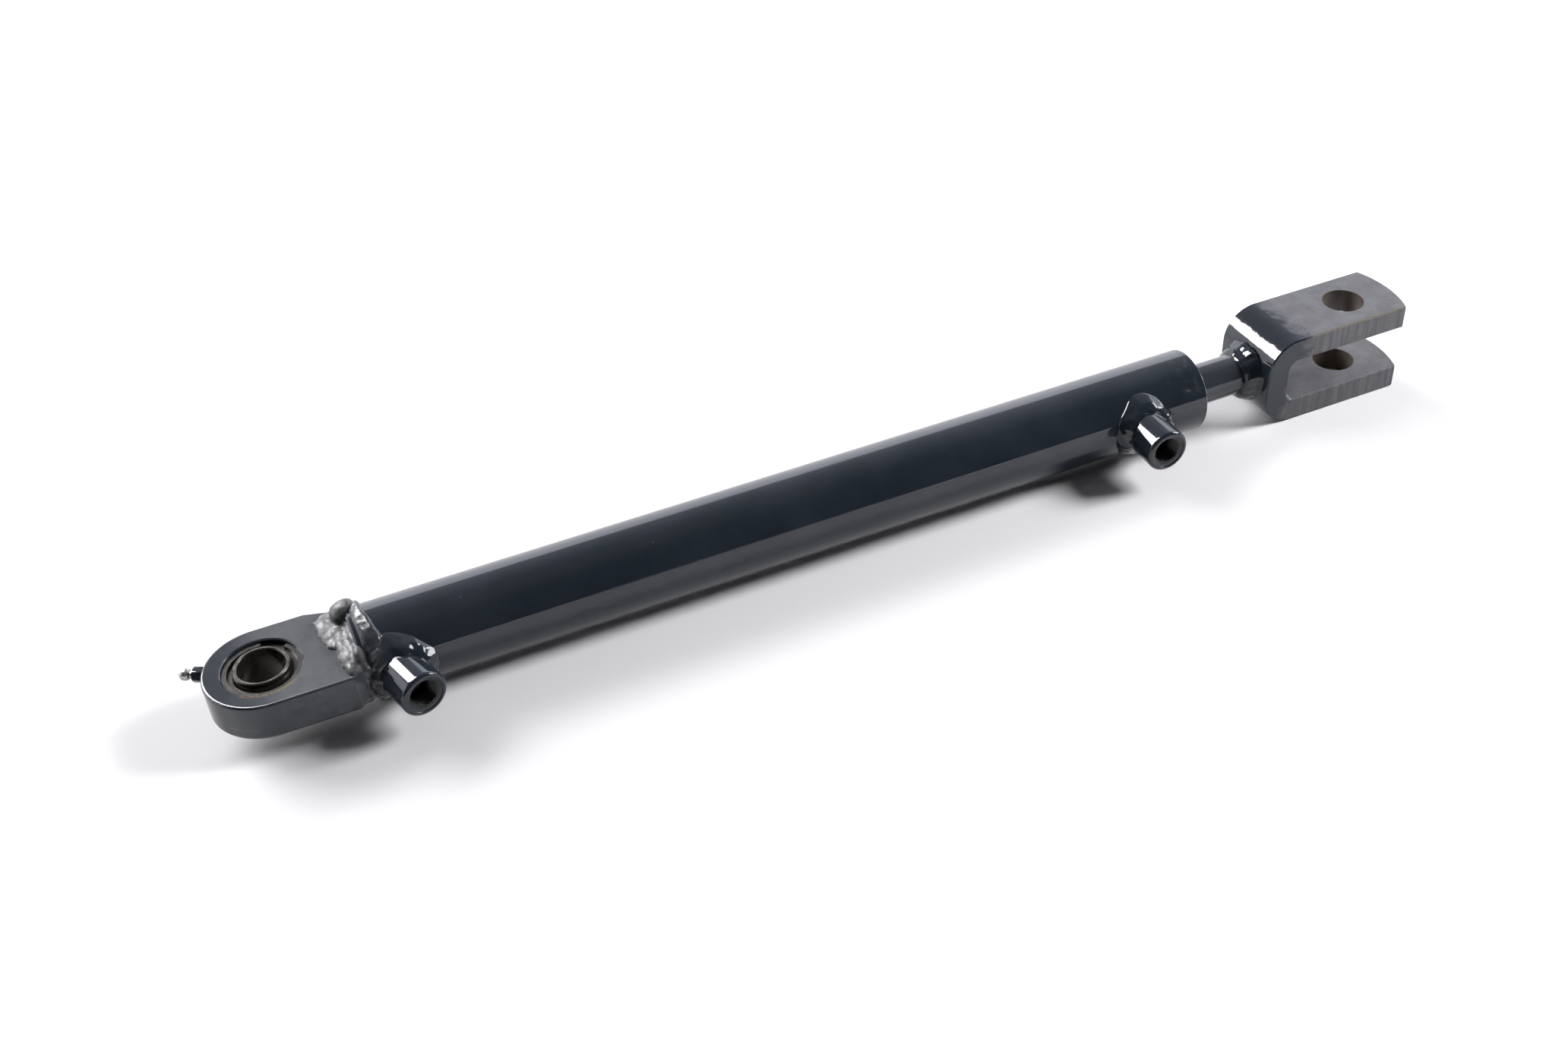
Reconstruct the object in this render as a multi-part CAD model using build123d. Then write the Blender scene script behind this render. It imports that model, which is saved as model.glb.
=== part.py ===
from build123d import *
from math import cos, radians, sin, sqrt
import os

# Double-acting hydraulic cylinder, retracted, in millimetres.
# Origin at the centre of the spherical bearing in the base eye, +X along the
# cylinder to the clevis, +Z along both pins, ports towards -Y.

# Driving dimensions
BORE = 40.0
BARREL_OD = 50.0
ROD_DIA = 25.0
STROKE = 400.0
PIN_DIA = 25.0
PIN_TO_PIN = 672.5
RUNNING_GAP = 0.05
STOP_GAP = 0.5

# Base eye and its spherical plain bearing
EYE_R = 31.0
EYE_THICK = 23.0
EYE_END_X = 47.0
EYE_EDGE_TOP = 1.5
EYE_EDGE_BOTTOM = 3.0
SHANK_TAPER_FAR_X = 28.0
SHANK_TAPER_NEAR_X = 41.0
SHANK_END_FAR_Y = 25.0
SHANK_END_NEAR_Y = 27.0
BEARING_OD = 42.0
BEARING_INNER_WIDTH = 25.0
BEARING_OUTER_WIDTH = 16.0
BEARING_SPHERE_R = 17.75
BEARING_NECK_R = 14.75
BEARING_CHAMFER = 0.6
RACE_GROOVE_R = 1.2
CIRCLIP_THICK = 1.75
CIRCLIP_GROOVE_WIDTH = 1.85
CIRCLIP_GROOVE_R = 22.25
CIRCLIP_INNER_R = 18.2
CIRCLIP_GAP_DEG = 40.0
CIRCLIP_TURN_DEG = 62.0
EYE_BORE_CHAMFER = 0.7

# Grease nipple on the rounded end of the eye
NIPPLE_ANGLE = 150.0
NIPPLE_Z = 4.0
NIPPLE_THREAD_R = 4.0
NIPPLE_THREAD_LENGTH = 5.5
NIPPLE_COLLAR_LENGTH = 1.5
NIPPLE_HEX_AF = 9.0
NIPPLE_HEX_LENGTH = 6.0
NIPPLE_NECK_R = 2.3
NIPPLE_NECK_LENGTH = 2.6
NIPPLE_HEAD_R = 3.25
NIPPLE_HEAD_LENGTH = 5.2
NIPPLE_HEAD_STRAIGHT = 2.1
NIPPLE_HEAD_SHOULDER = 1.0
NIPPLE_TIP_R = 2.0
NIPPLE_BORE_R = 1.5
NIPPLE_SEAT_R = 1.0
CHECK_BALL_R = 1.3
CHECK_BALL_SETBACK = 2.0
CHECK_SPRING_R = 1.0
CHECK_SPRING_WIRE_R = 0.2
CHECK_SPRING_PITCH = 1.1
CHECK_SPRING_LENGTH = 6.6

# Barrel
BARREL_START_X = 55.0
BARREL_END_X = 560.0
BARREL_RIM_CHAMFER = 0.8
CAP_FLANGE_R = 24.0
CAP_FACE_X = 59.5
CAP_CHAMFER = 1.0

# Welds
BASE_WELD_START_X = 49.5
BASE_WELD_END_X = 60.5
BASE_WELD_R = 28.0
EYE_WELD_START_X = 37.0
EYE_WELD_START_R = 13.0
EYE_WELD_END_R = 26.5
PORT_WELD_START = 12.5
PORT_WELD_START_R = 20.0
PORT_WELD_END = 31.0
PORT_WELD_END_R = 14.0
CLEVIS_WELD_START_X = 590.0
CLEVIS_WELD_R = 17.5
CLEVIS_WELD_FOOT_R = 20.0

# Port bosses, G 3/8 thread
BOSS_R = 13.0
BOSS_FACE = 49.5
BOSS_EDGE = 2.0
BASE_PORT_X = 58.5
BASE_PORT_LEAN = 16.0
ROD_PORT_X = 516.0
PORT_THREAD_R = 7.475
PORT_THREAD_DEPTH = 14.0
PORT_MOUTH_CHAMFER = 1.0
PORT_SPOTFACE_R = 10.4
PORT_SPOTFACE_DEPTH = 0.6
PORT_DRILL_R = 4.0

# Gland and rod seals
GLAND_NOSE_X = 510.0
GLAND_NOSE_R = 16.5
GLAND_SPIGOT_X = 522.0
GLAND_THREAD_X = 546.0
GLAND_THREAD_R = 22.0
GLAND_RECESS = 1.0
GLAND_BORE_GAP = 0.1
SPANNER_HOLE_R = 2.0
SPANNER_HOLE_PITCH_R = 19.2
SPANNER_HOLE_DEPTH = 5.0
ROD_GUIDE_X = 513.5
ROD_GUIDE_WIDTH = 9.7
ROD_GUIDE_THICK = 2.5
ROD_SEAL_X = 528.0
ROD_SEAL_WIDTH = 8.0
ROD_SEAL_THICK = 5.0
WIPER_WIDTH = 5.0
WIPER_THICK = 4.0
WIPER_LIP = 1.4
GLAND_GROOVE_X = 537.0
GLAND_GROOVE_WIDTH = 4.6
GLAND_GROOVE_DEPTH = 2.4
BACKUP_WIDTH = 1.4

# Piston
PISTON_LENGTH = 30.0
PISTON_GAP = 0.5
PISTON_CHAMFER = 1.0
STUD_R = 10.0
STUD_TAIL = 2.5
NUT_HEIGHT = 16.5
NUT_AF = 30.0
GUIDE_WIDTH = 5.8
GUIDE_THICK = 2.5
GUIDE_EDGE = 2.4
SEAL_WIDTH = 8.0
SEAL_THICK = 2.6
ENERGISER_THICK = 1.9
RING_SIDE_GAP = 0.1
STATIC_ORING_R = 1.1

# Clevis bent from flat bar
CLEVIS_WIDTH = 48.0
CLEVIS_THICK = 15.0
CLEVIS_HEIGHT = 58.0
CLEVIS_BACK_X = 603.5
CLEVIS_TIP_X = 701.0
CLEVIS_TIP_SAGITTA = 4.6
CLEVIS_OUTER_BEND = 20.0
CLEVIS_INNER_BEND = 6.0
CLEVIS_EDGE = 0.8

# Worked out from the driving dimensions
BORE_R = BORE / 2
BARREL_R = BARREL_OD / 2
ROD_R = ROD_DIA / 2
PIN_R = PIN_DIA / 2
GLAND_END_X = BARREL_END_X - GLAND_RECESS
PISTON_RIGHT_X = GLAND_NOSE_X - STOP_GAP - STROKE
PISTON_LEFT_X = PISTON_RIGHT_X - PISTON_LENGTH
PISTON_R = BORE_R - PISTON_GAP
NUT_LEFT_X = PISTON_LEFT_X - NUT_HEIGHT
ROD_START_X = NUT_LEFT_X - STUD_TAIL
PISTON_MID_X = (PISTON_LEFT_X + PISTON_RIGHT_X) / 2
GUIDE_REAR_X = PISTON_LEFT_X + GUIDE_EDGE
GUIDE_FRONT_X = PISTON_RIGHT_X - GUIDE_EDGE - GUIDE_WIDTH
SEAL_X = PISTON_MID_X - SEAL_WIDTH / 2
RING_OUTER_R = BORE_R - RUNNING_GAP
SEAL_BORE_R = ROD_R + RUNNING_GAP


def along_x(x):
    """A plane whose normal is +X, standing at x."""
    return Plane(origin=(x, 0, 0), x_dir=(0, 1, 0), z_dir=(1, 0, 0))


def rod_x(x_start, x_end, radius):
    """A round bar on the cylinder axis."""
    return extrude(along_x(x_start) * Circle(radius), amount=x_end - x_start)


def ring_x(x_start, width, inner_r, outer_r):
    """A plain ring on the cylinder axis."""
    return extrude(along_x(x_start) * (Circle(outer_r) - Circle(inner_r)), amount=width)


def turned_x(points):
    """A part turned about the cylinder axis from (x, radius) points."""
    return revolve(make_face(Polyline(*points, close=True)), Axis.X)


def turned_z(points):
    """A part turned about the eye's pin axis from (radius, z) points."""
    return revolve(make_face(Plane.XZ * Polyline(*points, close=True)), Axis.Z)


def disc_z(radius, z_low, z_high):
    """A round bar on the eye's pin axis."""
    return Pos(0, 0, z_low) * extrude(Circle(radius), amount=z_high - z_low)


def port_frame(x, lean):
    """A frame on the cylinder axis whose Z runs out of the port."""
    direction = (sin(radians(lean)), -cos(radians(lean)), 0)
    return Plane(origin=(x, 0, 0), x_dir=(0, 0, 1), z_dir=direction)


def port_bar(x, lean, start, end, radius):
    """A round bar on a port's axis, between two distances from the cylinder axis."""
    bar = Pos(0, 0, start) * extrude(Circle(radius), amount=end - start)
    return port_frame(x, lean) * bar


def nipple_frame():
    """A frame at the eye's rim whose Z runs out of the grease nipple."""
    direction = (cos(radians(NIPPLE_ANGLE)), sin(radians(NIPPLE_ANGLE)), 0)
    rim = (EYE_R * direction[0], EYE_R * direction[1], NIPPLE_Z)
    return Plane(origin=rim, x_dir=(0, 0, 1), z_dir=direction)


def grease_feed():
    """The drilling from the grease nipple to the middle of the eye."""
    return nipple_frame() * (Pos(0, 0, -EYE_R) * extrude(Circle(NIPPLE_BORE_R), amount=EYE_R))


def eye_outline():
    """The eye's flat outline: a round end and a shank tapered for welding."""
    arc = ThreePointArc((0, EYE_R), (-EYE_R, 0), (0, -EYE_R))
    sides = Polyline(
        (0, -EYE_R),
        (SHANK_TAPER_NEAR_X, -EYE_R),
        (EYE_END_X, -SHANK_END_NEAR_Y),
        (EYE_END_X, SHANK_END_FAR_Y),
        (SHANK_TAPER_FAR_X, EYE_R),
        (0, EYE_R),
    )
    return make_face(Curve() + [arc, sides])


def bearing_eye():
    half = EYE_THICK / 2
    body = Pos(0, 0, -half) * extrude(eye_outline(), amount=EYE_THICK)
    top = body.faces().sort_by(Axis.Z)[-1].edges().sort_by(Axis.X)
    body = fillet(top[:-1], EYE_EDGE_TOP)
    bottom = body.faces().sort_by(Axis.Z)[0].edges().sort_by(Axis.X)
    body = fillet(bottom[:-1], EYE_EDGE_BOTTOM)
    body -= disc_z(BEARING_OD / 2, -half, half)
    for side in (1, -1):
        z_inner = BEARING_OUTER_WIDTH / 2
        groove = disc_z(CIRCLIP_GROOVE_R, z_inner, z_inner + CIRCLIP_GROOVE_WIDTH)
        mouth = turned_z([
            (0, half - EYE_BORE_CHAMFER),
            (BEARING_OD / 2, half - EYE_BORE_CHAMFER),
            (BEARING_OD / 2 + EYE_BORE_CHAMFER, half),
            (0, half),
        ])
        cut = groove + mouth
        body -= cut if side == 1 else mirror(cut, Plane.XY)
    tapping = Pos(0, 0, -NIPPLE_THREAD_LENGTH) * extrude(
        Circle(NIPPLE_THREAD_R), amount=2 * NIPPLE_THREAD_LENGTH
    )
    return body - grease_feed() - nipple_frame() * tapping


def bearing_outer_ring():
    half = BEARING_OUTER_WIDTH / 2
    ring = disc_z(BEARING_OD / 2, -half, half)
    ring -= Sphere(BEARING_SPHERE_R + RUNNING_GAP)
    ring -= Torus(BEARING_OD / 2, RACE_GROOVE_R)
    return ring - grease_feed()


def bearing_inner_ring():
    half = BEARING_INNER_WIDTH / 2
    body = disc_z(BEARING_NECK_R, -half, half)
    body = chamfer(body.edges(), BEARING_CHAMFER)
    ball = Sphere(BEARING_SPHERE_R)
    neck_z = sqrt(BEARING_SPHERE_R**2 - BEARING_NECK_R**2)
    ball &= disc_z(BEARING_SPHERE_R, -neck_z, neck_z)
    body += ball
    bore = turned_z([
        (0, -half),
        (PIN_R + BEARING_CHAMFER, -half),
        (PIN_R, -half + BEARING_CHAMFER),
        (PIN_R, half - BEARING_CHAMFER),
        (PIN_R + BEARING_CHAMFER, half),
        (0, half),
    ])
    return body - bore


def retaining_ring(side):
    """An internal retaining ring with a plain gap, in the eye's groove."""
    slack = (CIRCLIP_GROOVE_WIDTH - CIRCLIP_THICK) / 2
    z_low = BEARING_OUTER_WIDTH / 2 + slack
    ring = disc_z(CIRCLIP_GROOVE_R, z_low, z_low + CIRCLIP_THICK)
    ring -= disc_z(CIRCLIP_INNER_R, z_low, z_low + CIRCLIP_THICK)
    reach = 2 * CIRCLIP_GROOVE_R
    half_gap = radians(CIRCLIP_GAP_DEG / 2)
    wedge = make_face(Polyline(
        (0, 0),
        (reach * cos(half_gap), -reach * sin(half_gap)),
        (reach * cos(half_gap), reach * sin(half_gap)),
        close=True,
    ))
    gap = Pos(0, 0, z_low) * extrude(wedge, amount=CIRCLIP_THICK)
    ring -= Rot(0, 0, CIRCLIP_TURN_DEG) * gap
    return ring if side == 1 else mirror(ring, Plane.XY)


def grease_nipple():
    collar_end = NIPPLE_COLLAR_LENGTH
    hex_end = collar_end + NIPPLE_HEX_LENGTH
    neck_end = hex_end + NIPPLE_NECK_LENGTH
    head_end = neck_end + NIPPLE_HEAD_LENGTH
    head_mid = neck_end + NIPPLE_HEAD_STRAIGHT
    half_outline = make_face(Polyline(
        (0, -NIPPLE_THREAD_LENGTH),
        (NIPPLE_THREAD_R, -NIPPLE_THREAD_LENGTH),
        (NIPPLE_THREAD_R, collar_end),
        (NIPPLE_NECK_R, collar_end),
        (NIPPLE_NECK_R, neck_end - NIPPLE_HEAD_SHOULDER),
        (NIPPLE_HEAD_R, neck_end),
        (NIPPLE_HEAD_R, head_mid),
        (NIPPLE_TIP_R, head_end),
        (0, head_end),
        close=True,
    ))
    body = revolve(Plane.XZ * half_outline, Axis.Z)
    hexagon = Pos(0, 0, collar_end) * extrude(
        RegularPolygon(NIPPLE_HEX_AF / 2, 6, major_radius=False), amount=NIPPLE_HEX_LENGTH
    )
    body += hexagon
    seat_z = head_end - CHECK_BALL_SETBACK
    bore = Pos(0, 0, -NIPPLE_THREAD_LENGTH) * extrude(
        Circle(NIPPLE_BORE_R), amount=seat_z + NIPPLE_THREAD_LENGTH
    )
    mouth = Pos(0, 0, seat_z) * extrude(Circle(NIPPLE_SEAT_R), amount=CHECK_BALL_SETBACK)
    return nipple_frame() * (body - bore - mouth)


def check_ball_z():
    """Height of the check ball's centre in the nipple, just under its seat."""
    head_end = (
        NIPPLE_COLLAR_LENGTH + NIPPLE_HEX_LENGTH + NIPPLE_NECK_LENGTH + NIPPLE_HEAD_LENGTH
    )
    drop = sqrt((CHECK_BALL_R + RUNNING_GAP)**2 - NIPPLE_SEAT_R**2)
    return head_end - CHECK_BALL_SETBACK - drop


def nipple_check_ball():
    return nipple_frame() * (Pos(0, 0, check_ball_z()) * Sphere(CHECK_BALL_R))


def nipple_spring():
    top = check_ball_z() - CHECK_BALL_R
    path = Pos(0, 0, top - CHECK_SPRING_LENGTH) * Helix(
        CHECK_SPRING_PITCH, CHECK_SPRING_LENGTH, CHECK_SPRING_R
    )
    section = Plane(origin=path @ 0, z_dir=path % 0) * Circle(CHECK_SPRING_WIRE_R)
    return nipple_frame() * sweep(section, path=path, is_frenet=True)


def base_cap():
    return turned_x([
        (EYE_END_X, 0),
        (EYE_END_X, CAP_FLANGE_R - CAP_CHAMFER),
        (EYE_END_X + CAP_CHAMFER, CAP_FLANGE_R),
        (BARREL_START_X, CAP_FLANGE_R),
        (BARREL_START_X, BORE_R),
        (CAP_FACE_X, BORE_R),
        (CAP_FACE_X, 0),
    ])


def barrel_tube():
    tube = turned_x([
        (BARREL_START_X, BORE_R),
        (BARREL_START_X, BARREL_R),
        (BARREL_END_X - BARREL_RIM_CHAMFER, BARREL_R),
        (BARREL_END_X, BARREL_R - BARREL_RIM_CHAMFER),
        (BARREL_END_X, GLAND_THREAD_R),
        (GLAND_THREAD_X, GLAND_THREAD_R),
        (GLAND_THREAD_X, BORE_R),
    ])
    tube -= port_bar(BASE_PORT_X, BASE_PORT_LEAN, 0, BARREL_OD, PORT_DRILL_R)
    tube -= port_bar(ROD_PORT_X, 0, 0, BARREL_OD, PORT_DRILL_R)
    return tube


def port_boss(x, lean):
    """A weld boss saddled on the barrel, with a tapped mouth and a drilled base."""
    spot = BOSS_FACE - PORT_SPOTFACE_DEPTH
    thread_end = BOSS_FACE - PORT_THREAD_DEPTH
    boss = extrude(Circle(BOSS_R), amount=BOSS_FACE)
    boss = fillet(boss.faces().sort_by(Axis.Z)[-1].edges(), BOSS_EDGE)
    boss -= Pos(0, 0, spot) * extrude(Circle(PORT_SPOTFACE_R), amount=BOSS_EDGE)
    boss -= Pos(0, 0, thread_end) * extrude(Circle(PORT_THREAD_R), amount=BOSS_FACE)
    boss -= extrude(Circle(PORT_DRILL_R), amount=BOSS_FACE)
    mouth = Pos(0, 0, spot - PORT_MOUTH_CHAMFER / 2) * Cone(
        PORT_THREAD_R, PORT_THREAD_R + PORT_MOUTH_CHAMFER, PORT_MOUTH_CHAMFER
    )
    boss -= mouth
    boss = port_frame(x, lean) * boss
    return boss - rod_x(0, BARREL_END_X, BARREL_R)


def port_weld(x, lean):
    """The fillet of weld between a port boss and the barrel."""
    mid = (PORT_WELD_START + PORT_WELD_END) / 2
    bead = Pos(0, 0, mid) * Cone(PORT_WELD_START_R, PORT_WELD_END_R, PORT_WELD_END - PORT_WELD_START)
    bead -= extrude(Circle(BOSS_R), amount=BOSS_FACE)
    bead = port_frame(x, lean) * bead
    return bead - rod_x(0, BARREL_END_X, BARREL_R)


def base_weld_band():
    """The full band of weld over the joint of cap and barrel."""
    mid_x = (BASE_WELD_START_X + BASE_WELD_END_X) / 2
    start = (BASE_WELD_START_X, CAP_FLANGE_R)
    end = (BASE_WELD_END_X, BARREL_R)
    crown = ThreePointArc(start, (mid_x, BASE_WELD_R), end)
    foot = Polyline(end, (BASE_WELD_END_X, 0), (BASE_WELD_START_X, 0), start)
    return revolve(make_face(Curve() + [crown, foot]), Axis.X)


def base_weld():
    band = base_weld_band()
    band -= rod_x(BARREL_START_X, BASE_WELD_END_X, BARREL_R)
    band -= rod_x(BASE_WELD_START_X, BARREL_START_X, CAP_FLANGE_R)
    return band - port_bar(BASE_PORT_X, BASE_PORT_LEAN, 0, BOSS_FACE, BOSS_R)


def eye_weld():
    """Weld above and below the eye's shank, filling up to the cap."""
    bead = turned_x([
        (EYE_WELD_START_X, 0),
        (EYE_WELD_START_X, EYE_WELD_START_R),
        (BASE_WELD_START_X, EYE_WELD_END_R),
        (BASE_WELD_START_X, 0),
    ])
    bead -= Pos(EYE_END_X / 2, 0, 0) * Box(EYE_END_X, 2 * EYE_R, EYE_THICK)
    return bead - base_cap()


def gland():
    bore = ROD_R + GLAND_BORE_GAP
    body = turned_x([
        (GLAND_NOSE_X, bore),
        (GLAND_NOSE_X, GLAND_NOSE_R),
        (GLAND_SPIGOT_X, GLAND_NOSE_R),
        (GLAND_SPIGOT_X, BORE_R),
        (GLAND_THREAD_X, BORE_R),
        (GLAND_THREAD_X, GLAND_THREAD_R),
        (GLAND_END_X, GLAND_THREAD_R),
        (GLAND_END_X, bore),
    ])
    body -= ring_x(GLAND_GROOVE_X, GLAND_GROOVE_WIDTH, BORE_R - GLAND_GROOVE_DEPTH, BORE_R)
    body -= ring_x(ROD_GUIDE_X, ROD_GUIDE_WIDTH, ROD_R, ROD_R + ROD_GUIDE_THICK)
    body -= ring_x(ROD_SEAL_X, ROD_SEAL_WIDTH, ROD_R, ROD_R + ROD_SEAL_THICK)
    body -= ring_x(GLAND_END_X - WIPER_WIDTH, WIPER_WIDTH, ROD_R, ROD_R + WIPER_THICK)
    for side in (1, -1):
        body -= Pos(GLAND_END_X - SPANNER_HOLE_DEPTH, side * SPANNER_HOLE_PITCH_R, 0) * (
            Plane.YZ * extrude(Circle(SPANNER_HOLE_R), amount=SPANNER_HOLE_DEPTH)
        )
    return body


def rod_guide_ring():
    return ring_x(ROD_GUIDE_X, ROD_GUIDE_WIDTH, SEAL_BORE_R, ROD_R + ROD_GUIDE_THICK)


def rod_seal():
    """A U-ring: two lips that open towards the pressure side."""
    outer = ROD_R + ROD_SEAL_THICK
    mid = (SEAL_BORE_R + outer) / 2
    lip = ROD_SEAL_THICK / 4
    return turned_x([
        (ROD_SEAL_X, SEAL_BORE_R),
        (ROD_SEAL_X, SEAL_BORE_R + lip),
        (ROD_SEAL_X + ROD_SEAL_WIDTH / 2, mid),
        (ROD_SEAL_X, outer - lip),
        (ROD_SEAL_X, outer),
        (ROD_SEAL_X + ROD_SEAL_WIDTH, outer),
        (ROD_SEAL_X + ROD_SEAL_WIDTH, SEAL_BORE_R),
    ])


def rod_wiper():
    """A wiper with a lip that stands out of the gland's face."""
    start = GLAND_END_X - WIPER_WIDTH
    return turned_x([
        (start, SEAL_BORE_R),
        (start, ROD_R + WIPER_THICK),
        (GLAND_END_X, ROD_R + WIPER_THICK),
        (GLAND_END_X, ROD_R + WIPER_THICK / 2),
        (GLAND_END_X + WIPER_LIP, SEAL_BORE_R + WIPER_LIP / 2),
        (GLAND_END_X + WIPER_LIP, SEAL_BORE_R),
    ])


def gland_oring():
    section_r = GLAND_GROOVE_DEPTH / 2
    return along_x(GLAND_GROOVE_X + section_r) * Torus(BORE_R - section_r, section_r)


def gland_backup_ring():
    start = GLAND_GROOVE_X + GLAND_GROOVE_WIDTH - BACKUP_WIDTH
    return ring_x(start, BACKUP_WIDTH, BORE_R - GLAND_GROOVE_DEPTH, BORE_R)


def piston():
    body = rod_x(PISTON_LEFT_X, PISTON_RIGHT_X, PISTON_R)
    rims = body.edges().filter_by(GeomType.CIRCLE)
    body = chamfer(rims, PISTON_CHAMFER)
    body -= rod_x(PISTON_LEFT_X, PISTON_RIGHT_X, STUD_R)
    for x in (GUIDE_REAR_X, GUIDE_FRONT_X):
        floor_r = RING_OUTER_R - GUIDE_THICK - RUNNING_GAP
        body -= ring_x(x - RING_SIDE_GAP, GUIDE_WIDTH + 2 * RING_SIDE_GAP, floor_r, BORE_R)
    floor_r = RING_OUTER_R - SEAL_THICK - ENERGISER_THICK - RUNNING_GAP
    body -= ring_x(SEAL_X - RING_SIDE_GAP, SEAL_WIDTH + 2 * RING_SIDE_GAP, floor_r, BORE_R)
    groove = 2 * STATIC_ORING_R
    body -= ring_x(PISTON_MID_X - STATIC_ORING_R, groove, STUD_R, STUD_R + groove)
    return body


def piston_guide_ring(x):
    return ring_x(x, GUIDE_WIDTH, RING_OUTER_R - GUIDE_THICK, RING_OUTER_R)


def piston_seal():
    return ring_x(SEAL_X, SEAL_WIDTH, RING_OUTER_R - SEAL_THICK, RING_OUTER_R)


def piston_seal_energiser():
    outer = RING_OUTER_R - SEAL_THICK
    return ring_x(SEAL_X, SEAL_WIDTH, outer - ENERGISER_THICK, outer)


def piston_static_oring():
    return along_x(PISTON_MID_X) * Torus(STUD_R + STATIC_ORING_R, STATIC_ORING_R)


def piston_nut():
    blank = extrude(
        along_x(NUT_LEFT_X) * RegularPolygon(NUT_AF / 2, 6, major_radius=False), amount=NUT_HEIGHT
    )
    corner_r = NUT_AF / sqrt(3)
    envelope = rod_x(NUT_LEFT_X, PISTON_LEFT_X, corner_r)
    blank &= chamfer(envelope.edges().filter_by(GeomType.CIRCLE), PISTON_CHAMFER)
    return blank - rod_x(NUT_LEFT_X, PISTON_LEFT_X, STUD_R)


def piston_rod():
    return turned_x([
        (ROD_START_X, 0),
        (ROD_START_X, STUD_R - PISTON_CHAMFER),
        (ROD_START_X + PISTON_CHAMFER, STUD_R),
        (PISTON_RIGHT_X, STUD_R),
        (PISTON_RIGHT_X, ROD_R),
        (CLEVIS_BACK_X, ROD_R),
        (CLEVIS_BACK_X, 0),
    ])


def clevis_profile(back_x, half_height, bend, end_x):
    """A U in side view, closed at end_x, as a face in the XZ plane."""
    corner = bend * (1 - 1 / sqrt(2))
    bend_x = back_x + bend
    bend_z = half_height - bend
    edges = [
        Line((end_x, half_height), (bend_x, half_height)),
        ThreePointArc(
            (bend_x, half_height),
            (back_x + corner, half_height - corner),
            (back_x, bend_z),
        ),
        Line((back_x, bend_z), (back_x, -bend_z)),
        ThreePointArc(
            (back_x, -bend_z),
            (back_x + corner, -half_height + corner),
            (bend_x, -half_height),
        ),
        Line((bend_x, -half_height), (end_x, -half_height)),
        Line((end_x, -half_height), (end_x, half_height)),
    ]
    return Plane.XZ * make_face(Curve() + edges)


def clevis():
    half_height = CLEVIS_HEIGHT / 2
    half_width = CLEVIS_WIDTH / 2
    end_x = CLEVIS_TIP_X + CLEVIS_TIP_SAGITTA
    outer = clevis_profile(CLEVIS_BACK_X, half_height, CLEVIS_OUTER_BEND, end_x)
    inner = clevis_profile(
        CLEVIS_BACK_X + CLEVIS_THICK, half_height - CLEVIS_THICK, CLEVIS_INNER_BEND, end_x
    )
    body = extrude(outer - inner, amount=half_width, both=True)
    tip_r = (half_width**2 + CLEVIS_TIP_SAGITTA**2) / (2 * CLEVIS_TIP_SAGITTA)
    plan = Pos(end_x - tip_r, 0, -half_height) * extrude(Circle(tip_r), amount=CLEVIS_HEIGHT)
    tip_side = Pos(end_x - CLEVIS_HEIGHT / 2, 0, 0) * Box(
        CLEVIS_HEIGHT, 2 * CLEVIS_WIDTH, 2 * CLEVIS_HEIGHT
    )
    body -= tip_side - plan
    near = body.faces().sort_by(Axis.Y)[0].edges()
    far = body.faces().sort_by(Axis.Y)[-1].edges()
    long_edges = [e for e in near + far if e.center().X < CLEVIS_TIP_X - CLEVIS_THICK]
    body = chamfer(long_edges, CLEVIS_EDGE)
    hole = Pos(PIN_TO_PIN, 0, -half_height) * extrude(Circle(PIN_R), amount=CLEVIS_HEIGHT)
    return body - hole


def clevis_weld():
    """The collar of weld that joins the rod to the back of the clevis."""
    mid_x = (CLEVIS_WELD_START_X + CLEVIS_BACK_X) / 2
    start = (CLEVIS_WELD_START_X, ROD_R)
    foot = (CLEVIS_BACK_X, CLEVIS_WELD_FOOT_R)
    crown = ThreePointArc(start, (mid_x, CLEVIS_WELD_R), foot)
    base = Polyline(foot, (CLEVIS_BACK_X, ROD_R), start)
    return revolve(make_face(Curve() + [crown, base]), Axis.X)


def build():
    base_boss = port_boss(BASE_PORT_X, BASE_PORT_LEAN)
    band = base_weld()
    end_welds = base_weld_band() + rod_x(EYE_WELD_START_X, BASE_WELD_END_X, EYE_WELD_END_R)
    return {
        "bearing_eye": bearing_eye(),
        "bearing_outer_ring": bearing_outer_ring(),
        "bearing_inner_ring": bearing_inner_ring(),
        "retaining_ring_upper": retaining_ring(1),
        "retaining_ring_lower": retaining_ring(-1),
        "grease_nipple": grease_nipple(),
        "nipple_check_ball": nipple_check_ball(),
        "nipple_spring": nipple_spring(),
        "base_cap": base_cap(),
        "barrel_tube": barrel_tube(),
        "base_weld": band,
        "eye_weld": eye_weld() - band,
        "base_port_boss": base_boss,
        "base_port_weld": port_weld(BASE_PORT_X, BASE_PORT_LEAN) - end_welds,
        "rod_port_boss": port_boss(ROD_PORT_X, 0),
        "rod_port_weld": port_weld(ROD_PORT_X, 0),
        "gland": gland(),
        "gland_oring": gland_oring(),
        "gland_backup_ring": gland_backup_ring(),
        "rod_guide_ring": rod_guide_ring(),
        "rod_seal": rod_seal(),
        "rod_wiper": rod_wiper(),
        "piston": piston(),
        "piston_guide_ring_front": piston_guide_ring(GUIDE_FRONT_X),
        "piston_guide_ring_rear": piston_guide_ring(GUIDE_REAR_X),
        "piston_seal": piston_seal(),
        "piston_seal_energiser": piston_seal_energiser(),
        "piston_static_oring": piston_static_oring(),
        "piston_nut": piston_nut(),
        "piston_rod": piston_rod(),
        "clevis": clevis(),
        "clevis_weld": clevis_weld(),
    }


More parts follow.
